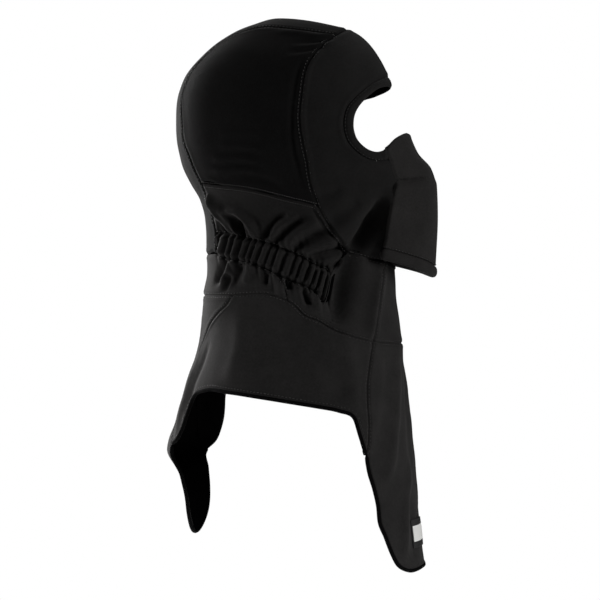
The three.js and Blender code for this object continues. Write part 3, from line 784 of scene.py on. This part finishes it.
def knit_panel(name, patch, materials, step=GRID_STEP, down_step=None, proud=0.0, thickness=CLOTH,
               edges=("seam",) * 4, body="garment", subdivide=1, fullness=1.0):
    points, uvs = patch.grid(step, down_step or step, proud, edges)
    piece = grid_mesh(f"{name}_knit", points, uvs, materials)
    if subdivide:
        smooth = piece.modifiers.new("smooth", "SUBSURF")
        smooth.levels = smooth.render_levels = subdivide
    solid = piece.modifiers.new("cloth", "SOLIDIFY")
    solid.thickness = thickness * MILLIMETRE
    solid.offset = -1
    # The second material, near-black painted shade, goes on the inner face.
    solid.material_offset = 1 if len(materials) > 1 else 0
    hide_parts(name)
    wide, long = patch.length(True) * MILLIMETRE, patch.length(False) * MILLIMETRE
    area = min(patch.area() * MILLIMETRE ** 2, wide * long) * fullness
    if body:
        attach(piece, body)
    return piece


def frames_along(flat, front, heights, chart=Wrap):
    """Points on the cloth with their outward, running and left directions."""
    points, normal = skin(chart, flat, front, heights)
    run = np.gradient(points, axis=0)
    run /= np.linalg.norm(run, axis=1, keepdims=True)
    left = np.cross(normal, run)
    left /= np.linalg.norm(left, axis=1, keepdims=True)
    return points, normal, run, left


def even_path(path, step, front, chart=Wrap, heights=relief):
    """Flattened points at even distances in mm along a path on the cloth."""
    dense = curve(chart.flatten(path), np.linspace(0, 1, 60 * len(path)))
    points, _ = skin(chart, dense, front, heights)
    run = distance_along(points)
    at = np.linspace(0, run[-1], max(2, int(round(run[-1] / step))) + 1)
    return np.stack([np.interp(at, run, dense[:, k]) for k in (0, 1)], -1)


def tube(name, path, section, materials, front=face_front, heights=relief, step=2.2, chart=Wrap,
         body="garment", replaces=()):
    """Sweep a section, a list of (left, out) in mm, along a path on the cloth, with rounded ends."""
    flat = even_path(path, step, front, chart, heights)
    points, normal, run, left = frames_along(flat, front, heights, chart)
    section = np.array(section)
    ring = len(section)
    count = len(points)
    shrink = np.ones(count)
    shrink[0] = shrink[-1] = 0.45
    shrink[1] = shrink[-2] = 0.9
    centre = section.mean(0)
    shaped = centre + (section - centre)[None] * shrink[:, None, None]
    vertices = points[:, None] + left[:, None] * shaped[..., :1] + normal[:, None] * shaped[..., 1:]
    faces = []
    for i in range(count - 1):
        for k in range(ring):
            a, b = i * ring + k, i * ring + (k + 1) % ring
            faces.append([a, a + ring, b + ring, b])
    faces.append(list(range(ring)))
    faces.append([(count - 1) * ring + k for k in range(ring)][::-1])
    around = np.linspace(0, 1, ring, endpoint=False)
    girth = np.linalg.norm(np.diff(section, axis=0, append=section[:1]), axis=1).sum()
    reach = np.arange(count) * step
    uvs = np.stack(np.broadcast_arrays(reach[:, None], around[None] * girth), -1) * UV_PER_MM
    piece = add_object(f"{name}_tube", vertices.reshape(-1, 3), faces, materials, uvs.reshape(-1, 2))
    if replaces:
        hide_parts(*replaces)
    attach(piece, body)


def oval(width, thick, sides=12, centre=(0, 0), power=2.0):
    """Section of an oval; a power above 2 squares it up."""
    ring = []
    for k in range(sides):
        angle = 2 * math.pi * k / sides
        c, s = math.cos(angle), math.sin(angle)
        ring.append((
            centre[0] + width / 2 * math.copysign(abs(c) ** (2 / power), c),
            centre[1] + thick / 2 * math.copysign(abs(s) ** (2 / power), s),
        ))
    return ring


def stitches(name, path, offsets, front=face_front, heights=relief, chart=Wrap, body="garment",
             pitch=STITCH_PITCH, long=STITCH_LENGTH, lift=-0.05, thread=THREAD):
    """Rows of small raised stitches beside a seam, each a rounded bar of thread."""
    flat = even_path(path, pitch, front, chart, heights)[1:-1]
    points, normal, run, left = frames_along(flat, front, heights, chart)
    # Along each bar: a point at both ends, and two full rings of points between them.
    ring = [(0.0, 0.0), (0.28, 1.0), (0.72, 1.0), (1.0, 0.0)]
    sides = 6
    vertices, faces = [], []
    for offset in offsets:
        for k in range(len(points)):
            centre = points[k] + left[k] * offset + normal[k] * lift
            across = np.cross(normal[k], run[k])
            first = len(vertices)
            for t, full in ring:
                middle_point = centre + run[k] * (t - 0.5) * long
                if full == 0.0:
                    vertices.append(middle_point - normal[k] * 0.1)
                    continue
                for j in range(sides):
                    angle = 2 * math.pi * j / sides
                    bump = across * math.cos(angle) * STITCH_WIDTH / 2
                    vertices.append(middle_point + bump + normal[k] * math.sin(angle) * STITCH_WIDTH / 2)
            last = first + 1 + 2 * sides
            for j in range(sides):
                n = (j + 1) % sides
                faces.append([first, first + 1 + n, first + 1 + j])
                faces.append([first + 1 + j, first + 1 + n, first + 1 + sides + n, first + 1 + sides + j])
                faces.append([last, first + 1 + sides + j, first + 1 + sides + n])
    vertices = np.array(vertices)
    uvs = vertices[:, [0, 2]] * UV_PER_MM
    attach(add_object(f"{name}_stitching", vertices, faces, [thread], uvs), body)


# ---- hood ----
SIDES = (("right", right_of), ("left", left_of))
HOOD_FRONT = HOOD_FRONT_UPPER + HOOD_FRONT_LOWER[1:]
CROWN_EDGE = CROWN_SEAM_TOP + CROWN_SEAM_BACK[1:] + CROWN_SEAM_NAPE[1:] + [CROWN_SEAM_END]
knit_panel(
    "crown_panel",
    Patch(
        CROWN_EDGE, left_of(CROWN_EDGE), across_front(FRONT_END),
        [CROWN_SEAM_END, [-165, -125.5], [-180, -125], [165, -125.5], [150, -126]], chart=Plan,
    ),
    [HOOD, INSIDE_SHADE],
)
for side, mirror in SIDES:
    knit_panel(
        f"hood_side_{side}",
        Patch(
            mirror(CROWN_SEAM_TOP), mirror(COVERSTITCH_SEAM), mirror(HOOD_FRONT_UPPER),
            mirror(CROWN_SEAM_BACK), chart=Plan,
        ),
        [HOOD, INSIDE_SHADE],
    )
    knit_panel(
        f"nape_panel_{side}",
        Patch(
            mirror(COVERSTITCH_SEAM), mirror(CASING_TOP),
            mirror(HOOD_FRONT_LOWER[:-1] + [[-61, -126]] + [CASING_TOP[0]]), mirror(CROWN_SEAM_NAPE),
        ),
        [NAPE, INSIDE_SHADE],
        step=1.4,
        down_step=2.2,
        fullness=1.3,
    )
    knit_panel(
        f"gather_casing_{side}",
        Patch(mirror(CASING_TOP), mirror(CASING_BOTTOM)),
        [NAPE, INSIDE_SHADE],
        step=0.9,
        down_step=1.6,
        fullness=1.75,
    )
    knit_panel(
        f"gather_elastic_{side}",
        Patch(
            mirror([[a, z - 4] for a, z in CASING_TOP[1:-1]]),
            mirror([[a, z + 4] for a, z in CASING_BOTTOM[1:-1]]),
            heights=lambda angle, q: 0.25 * relief(angle, q),
        ),
        [ELASTIC],
        step=1.8,
        proud=-3.6,
        thickness=1.2,
        edges=("bound",) * 4,
        subdivide=0,
    )


# ---- face ----
face_outer = CHIN_SEAM[::-1] + HOOD_FRONT[::-1][1:] + FRONT_END[1:]
eye_stitch, eye_edge = across_front(EYE_STITCH[::-1]), across_front(EYE_EDGE[::-1])
mouth_side = MOUTH_SIDE[::-1] + [EYE_STITCH[-1]]
knit_panel(
    "face_panel",
    Patch(
        finer(across_front(face_outer)), finer(eye_stitch), finer(mouth_side), finer(left_of(mouth_side)),
        fade=2.0,
    ),
    [FACE, INSIDE_SHADE],
    step=3.0,
    down_step=2.4,
    edges=("seam", "seam", "bound", "bound"),
)
knit_panel(
    "eye_opening_binding",
    Patch(eye_stitch, eye_edge, chart=Plan),
    [FACE, INSIDE_SHADE],
    step=2.0,
    down_step=1.2,
    proud=0.3,
    edges=("seam", "fold", "seam", "seam"),
)

# ---- mask ----
knit_panel(
    "mask_nose_panel",
    Patch(
        across_front(NOSE_EDGE), across_front(CREASE), NOSE_SIDE, left_of(NOSE_SIDE),
        front=mask_front, heights=mask_relief,
    ),
    [MASK, INSIDE_SHADE],
    step=2.2,
    edges=("fold", "bound", "seam", "seam"),
)
flap = knit_panel(
    "mask_mouth_panel",
    Patch(
        across_front(CREASE), across_front(FLAP_BOTTOM), FLAP_SIDE, left_of(FLAP_SIDE),
        front=mask_front, heights=mask_relief,
    ),
    [MASK, INSIDE_SHADE],
    step=2.2,
    proud=lambda s: 1.0 * smoothstep(0, 0.12, s),
    edges=("bound", "bound", "fold", "fold"),
    body=None,
)
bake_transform(flap)
tube(
    "mask_hem",
    across_front(FLAP_BOTTOM),
    oval(11, 8, sides=16, centre=(-5.5, -1.6), power=2.2),
    [MASK],
    front=mask_front,
    heights=mask_relief,
    body="mask_flap",
    replaces=["mask_hem"],
)

# ---- neck ----
nape_top = CASING_BOTTOM[3:] + [[-165, -125.5], [-180, -125]]
knit_panel(
    "lower_nape_panel",
    Patch(across_back(nape_top), across_back(YOKE_BACK), NAPE_SEAM, back_flip(NAPE_SEAM)),
    [BIB, INSIDE_SHADE],
    step=1.7,
    down_step=2.2,
)
neck_top = CASING_BOTTOM[:4][::-1] + CASING_FRONT_SEAM + CHIN_SEAM[1:]
for side, mirror in SIDES:
    knit_panel(
        f"neck_side_{side}",
        Patch(mirror(neck_top), mirror(YOKE_SIDE), mirror(NAPE_SEAM), mirror(NECK_FRONT_SEAM)),
        [BIB, INSIDE_SHADE],
        step=1.9,
        down_step=2.2,
    )
knit_panel(
    "neck_front_panel",
    Patch(
        across_front(CHIN_EDGE), across_front(YOKE_FRONT), NECK_FRONT_SEAM, left_of(NECK_FRONT_SEAM),
    ),
    [BIB, INSIDE_SHADE],
    edges=("bound", "seam", "seam", "seam"),
)

# ---- bib ----
side_top = [[-131, -163], [-128, -162.8], [-123, -162.5], [-115, -162]] + YOKE_BACK[:3][::-1] + YOKE_SIDE[1:]
for side, mirror in SIDES:
    knit_panel(
        f"bib_side_{side}",
        Patch(mirror(side_top), mirror(ARCH_EDGE), mirror(BIB_BACK_SEAM), mirror(BIB_FRONT_SEAM)),
        [BIB, INSIDE_SHADE],
        step=2.6,
        edges=("seam", "bound", "seam", "seam"),
    )
front_side = BIB_FRONT_SEAM + FRONT_TAIL_EDGE[1:-1]
knit_panel(
    "bib_front_panel",
    Patch(
        across_front(YOKE_FRONT), [FRONT_TAIL_EDGE[-2], FRONT_TAIL_EDGE[-1], [18, -409]],
        front_side, left_of(front_side),
    ),
    [BIB, INSIDE_SHADE],
    edges=("seam", "bound", "seam", "seam"),
)
back_side = BIB_BACK_SEAM + BACK_TAIL_EDGE[1:-1]
knit_panel(
    "bib_back_panel",
    Patch(
        across_back(YOKE_BACK[4:]), across_back(BACK_TAIL_EDGE[-2:]),
        back_side, back_flip(back_side),
    ),
    [BIB, INSIDE_SHADE],
    edges=("seam", "bound", "seam", "seam"),
)

# ---- bound edges ----
BEAD = oval(BEAD_WIDTH, BEAD_WIDTH, sides=10, centre=(0.4, -0.8))
tube("chin_edge_binding", across_front(CHIN_EDGE), BEAD, [BINDING], replaces=["chin_edge_binding"])
tube("front_hem_binding", across_front(FRONT_TAIL_EDGE), BEAD, [BINDING], replaces=["front_hem_binding"])
tube("back_hem_binding", across_back(BACK_TAIL_EDGE), BEAD, [BINDING], replaces=["back_hem_binding"])
for side, mirror in SIDES:
    tube(f"arch_binding_{side}", mirror(ARCH_EDGE), BEAD, [BINDING], replaces=[f"arch_binding_{side}"])


# ---- seam allowances, inside ----
def allowance(name, path, width=8.0, chart=Wrap):
    """The two trimmed edges of a seam, overlocked flat against the inside of the cloth."""
    section = oval(width, 1.3, sides=8, centre=(0, -2.3), power=3)
    tube(f"{name}_allowance", path, section, [INSIDE_SHADE], step=3, chart=chart)


PLAIN_SEAMS = {
    "yoke": YOKE_SIDE,
    "nape_seam": NAPE_SEAM,
    "neck_front": NECK_FRONT_SEAM,
    "chin_seam": CHIN_SEAM,
    "bib_front": BIB_FRONT_SEAM,
    "bib_back": BIB_BACK_SEAM,
}
for side, mirror in SIDES:
    allowance(f"crown_seam_{side}", mirror(CROWN_EDGE), chart=Plan)
    allowance(f"hood_front_{side}", mirror(HOOD_FRONT), chart=Plan)
    allowance(f"coverstitch_{side}", mirror(COVERSTITCH_SEAM))
    allowance(f"casing_top_{side}", mirror(CASING_TOP), width=6)
    allowance(f"casing_bottom_{side}", mirror(CASING_BOTTOM), width=6)
    allowance(f"casing_front_{side}", mirror([CASING_BOTTOM[0]] + CASING_FRONT_SEAM), width=9)
    allowance(f"casing_end_{side}", mirror([CASING_TOP[-1], CASING_BOTTOM[-1]]))
    for seam, path in PLAIN_SEAMS.items():
        allowance(f"{seam}_{side}", mirror(path))
allowance("nape_top", across_back(nape_top))
allowance("yoke_back", across_back(YOKE_BACK))
allowance("yoke_front", across_front(YOKE_FRONT))
allowance("eye_opening", eye_stitch[1:-1], width=5, chart=Plan)
allowance("forehead", across_front(FRONT_END), chart=Plan)

# ---- stitching ----
TWIN = (-STITCH_INSET, STITCH_INSET)
for side, mirror in SIDES:
    stitches(f"crown_seam_{side}", mirror(CROWN_EDGE), TWIN, chart=Plan)
    stitches(f"hood_front_{side}", mirror(HOOD_FRONT), TWIN, chart=Plan)
    stitches(
        f"coverstitch_{side}", mirror(COVERSTITCH_SEAM), (-COVERSTITCH_INSET, COVERSTITCH_INSET),
        pitch=COVERSTITCH_PITCH, long=COVERSTITCH_LENGTH, lift=0.25, thread=PALE_THREAD,
    )
    stitches(f"casing_top_{side}", mirror(CASING_TOP), (-1.2,), lift=0.3)
    stitches(f"casing_bottom_{side}", mirror(CASING_BOTTOM), (1.2,), lift=0.3)
    for seam, path in PLAIN_SEAMS.items():
        stitches(f"{seam}_{side}", mirror(path), TWIN)
    stitches(f"arch_hem_{side}", mirror(ARCH_EDGE), (-4 if side == "left" else 4,))
stitches("yoke_back", across_back(YOKE_BACK), TWIN)
stitches("yoke_front", across_front(YOKE_FRONT), TWIN)
stitches("eye_opening", eye_stitch, (-1.3,), chart=Plan)
ON_MASK = {"front": mask_front, "heights": mask_relief, "body": "mask_flap"}
stitches("mask_side_right", FLAP_SIDE, (2.2,), **ON_MASK)
stitches("mask_side_left", left_of(FLAP_SIDE), (-2.2,), **ON_MASK)
stitches("mask_hem", across_front(FLAP_BOTTOM), (0.8,), lift=1.2, **ON_MASK)

# ---- label ----
def label_material():
    """A black woven patch with one plain light block: no letters and no mark."""
    material, nodes, links, shader = node_tree("label_tape")
    place = nodes.new("ShaderNodeTexCoord")
    split = nodes.new("ShaderNodeSeparateXYZ")
    links.new(place.outputs["UV"], split.inputs[0])

    def between(socket, low, high):
        above = add_maths(nodes, links, "GREATER_THAN", socket, low)
        below = add_maths(nodes, links, "LESS_THAN", socket, high)
        return add_maths(nodes, links, "MULTIPLY", above, below)

    across = between(split.outputs["X"], 0.07, 0.93)
    down = between(split.outputs["Y"], 0.22, 0.78)
    mix = nodes.new("ShaderNodeMix")
    mix.data_type = "RGBA"
    mix.inputs["A"].default_value = (0.006, 0.006, 0.006, 1)
    mix.inputs["B"].default_value = (0.72, 0.72, 0.70, 1)
    links.new(add_maths(nodes, links, "MULTIPLY", across, down), mix.inputs["Factor"])
    links.new(mix.outputs["Result"], shader.inputs["Base Color"])
    bump = add_bump(nodes, links, add_noise(nodes, links, place, 900), 0.3, 0.0003)
    links.new(bump.outputs["Normal"], shader.inputs["Normal"])
    shader.inputs["Roughness"].default_value = 0.6
    return material


LABEL_TOP, LABEL_BOTTOM = [[-9, -366], [9, -366]], [[-9, -391], [9, -391]]
label = knit_panel(
    "label_patch", Patch(LABEL_TOP, LABEL_BOTTOM), [label_material()],
    step=3, proud=1.1, thickness=0.8, edges=("bound",) * 4,
)
# The label's UVs run from 0 to 1, so that the block keeps its margins.
uv_layer = label.data.uv_layers[0].data
uv_all = np.array([loop.uv for loop in uv_layer])
uv_unit = (uv_all - uv_all.min(0)) / (uv_all.max(0) - uv_all.min(0))
uv_layer.foreach_set("uv", uv_unit.astype(np.float32).ravel())

# ---- studio ----
ROOM_FILL = 0.04
FLOOR_BELOW = 0.25
FLOOR_RADIUS = 0.6
LIGHT_AIM = Vector((0.0, 0.0, -0.12))


def add_room():
    """A white backdrop for the camera, which lights the object only a little."""
    world = bpy.data.worlds.new("studio")
    bpy.context.scene.world = world
    world.use_nodes = True
    nodes, links = world.node_tree.nodes, world.node_tree.links
    seen = nodes.new("ShaderNodeLightPath")
    strength = nodes.new("ShaderNodeMapRange")
    strength.inputs["To Min"].default_value = ROOM_FILL
    strength.inputs["To Max"].default_value = 1.0
    links.new(seen.outputs["Is Camera Ray"], strength.inputs["Value"])
    nodes["Background"].inputs["Color"].default_value = (1, 1, 1, 1)
    links.new(strength.outputs["Result"], nodes["Background"].inputs["Strength"])


def add_floor():
    """A round of pale paper under the object, which hangs clear of it."""
    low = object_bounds()[0][2] - FLOOR_BELOW
    rim = [2 * math.pi * k / 96 for k in range(96)]
    corners = [(FLOOR_RADIUS * math.cos(a), FLOOR_RADIUS * math.sin(a), low) for a in rim]
    mesh = bpy.data.meshes.new("floor")
    mesh.from_pydata(corners, [], [list(range(len(corners)))])
    material, _, _, shader = node_tree("floor_paper")
    shader.inputs["Base Color"].default_value = (0.9, 0.9, 0.9, 1)
    shader.inputs["Roughness"].default_value = 0.9
    shader.inputs["Specular IOR Level"].default_value = 0.0
    shader.inputs["Emission Color"].default_value = (1, 1, 1, 1)
    shader.inputs["Emission Strength"].default_value = 0.5
    mesh.materials.append(material)
    floor = bpy.data.objects.new("floor", mesh)
    bpy.context.collection.objects.link(floor)


def add_light(name, place, size, power):
    """A soft rectangular light, size (wide, tall) in metres and power in watts."""
    data = bpy.data.lights.new(name, "AREA")
    data.shape = "RECTANGLE"
    data.size, data.size_y = size
    data.energy = power
    light = bpy.data.objects.new(name, data)
    light.location = place
    light.rotation_euler = (LIGHT_AIM - Vector(place)).to_track_quat("-Z", "Y").to_euler()
    bpy.context.collection.objects.link(light)


bpy.context.scene.view_settings.view_transform = "Standard"
add_room()
add_floor()
add_light("rim_rear", (-1.0, 0.85, 0.2), (0.5, 0.9), 32)
add_light("soft_left", (-1.35, -0.25, 0.0), (0.4, 0.6), 12)
add_light("soft_front", (1.4, -0.7, 0.3), (0.5, 0.9), 17)
add_light("soft_top", (-0.1, 0.5, 1.3), (1.0, 0.8), 7)
